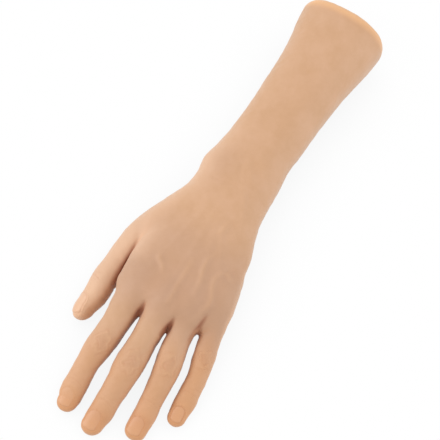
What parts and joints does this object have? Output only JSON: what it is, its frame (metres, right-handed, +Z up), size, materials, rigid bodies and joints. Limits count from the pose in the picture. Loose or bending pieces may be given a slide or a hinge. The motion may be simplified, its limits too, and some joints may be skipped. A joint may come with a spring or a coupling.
{
  "type": "tattoo practice hand",
  "caption": "Lifelike silicone left hand and forearm for practising tattoos, lying palm down, with a jointed metal armature cast inside so that wrist and fingers bend.",
  "frame": {"origin": "on the table, below the middle of the hand's length and breadth", "axes": "+Y from the cut end of the forearm to the fingertips, +X to the thumb side, +Z up from the table through the back of the hand"},
  "size_m": [0.0973, 0.3127, 0.052],
  "materials": {
    "silicone_skin": "matt skin-coloured silicone",
    "foam_core": "matt cream foam",
    "palm_block_metal": "milled",
    "armature_steel": "turned"
  },
  "bodies": {
    "forearm": {"forearm_skin": "silicone_skin", "forearm_core": "foam_core", "forearm_rod": "armature_steel", "wrist_fork": "armature_steel", "wrist_bolt": "armature_steel", "wrist_nut": "armature_steel"},
    "palm": {"palm_skin": "silicone_skin", "palm_block": "palm_block_metal", "thumb_rod": "armature_steel", "thumb_pin": "armature_steel", "index_rod": "armature_steel", "index_middle_pin": "armature_steel", "middle_rod": "armature_steel", "middle_middle_pin": "armature_steel", "ring_rod": "armature_steel", "ring_middle_pin": "armature_steel", "little_rod": "armature_steel", "little_middle_pin": "armature_steel"},
    "index_middle": {"index_middle_link": "armature_steel", "index_middle_skin": "silicone_skin", "index_end_pin": "armature_steel"},
    "index_distal": {"index_distal_link": "armature_steel", "index_distal_skin": "silicone_skin"},
    "middle_middle": {"middle_middle_link": "armature_steel", "middle_middle_skin": "silicone_skin", "middle_end_pin": "armature_steel"},
    "middle_distal": {"middle_distal_link": "armature_steel", "middle_distal_skin": "silicone_skin"},
    "ring_middle": {"ring_middle_link": "armature_steel", "ring_middle_skin": "silicone_skin", "ring_end_pin": "armature_steel"},
    "ring_distal": {"ring_distal_link": "armature_steel", "ring_distal_skin": "silicone_skin"},
    "little_middle": {"little_middle_link": "armature_steel", "little_middle_skin": "silicone_skin", "little_end_pin": "armature_steel"},
    "little_distal": {"little_distal_link": "armature_steel", "little_distal_skin": "silicone_skin"},
    "thumb_tip": {"thumb_link": "armature_steel", "thumb_tip_skin": "silicone_skin"}
  },
  "joints": [
    {"name": "wrist", "type": "hinge", "parent": "forearm", "child": "palm", "pos_m": [0.0013, -0.01735, 0.022], "axis": [1, 0, 0], "range_deg": [-20, 20]},
    {"name": "index_knuckle", "type": "hinge", "parent": "palm", "child": "index_middle", "pos_m": [0.0182, 0.10685, 0.017], "axis": [-0.9998, 0.0175, 0], "range_deg": [0, 70]},
    {"name": "index_end_knuckle", "type": "hinge", "parent": "index_middle", "child": "index_distal", "pos_m": [0.01866, 0.13318, 0.0102], "axis": [-0.9998, 0.0175, 0], "range_deg": [0, 45]},
    {"name": "middle_knuckle", "type": "hinge", "parent": "palm", "child": "middle_middle", "pos_m": [-0.0026, 0.10785, 0.0172], "axis": [-1, 0, 0], "range_deg": [0, 70]},
    {"name": "middle_end_knuckle", "type": "hinge", "parent": "middle_middle", "child": "middle_distal", "pos_m": [-0.0026, 0.13483, 0.0105], "axis": [-1, 0, 0], "range_deg": [0, 45]},
    {"name": "ring_knuckle", "type": "hinge", "parent": "palm", "child": "ring_middle", "pos_m": [-0.0228, 0.09585, 0.0162], "axis": [-0.9986, -0.0523, 0], "range_deg": [0, 70]},
    {"name": "ring_end_knuckle", "type": "hinge", "parent": "ring_middle", "child": "ring_distal", "pos_m": [-0.02414, 0.12132, 0.0102], "axis": [-0.9986, -0.0523, 0], "range_deg": [0, 45]},
    {"name": "little_knuckle", "type": "hinge", "parent": "palm", "child": "little_middle", "pos_m": [-0.0394, 0.08335, 0.0142], "axis": [-0.9962, -0.0872, 0], "range_deg": [0, 70]},
    {"name": "little_end_knuckle", "type": "hinge", "parent": "little_middle", "child": "little_distal", "pos_m": [-0.04122, 0.10421, 0.0093], "axis": [-0.9962, -0.0872, 0], "range_deg": [0, 45]},
    {"name": "thumb_knuckle", "type": "hinge", "parent": "palm", "child": "thumb_tip", "pos_m": [0.0396, 0.07135, 0.0109], "axis": [-0.6371, 0.126, 0.7604], "range_deg": [0, 50]}
  ]
}
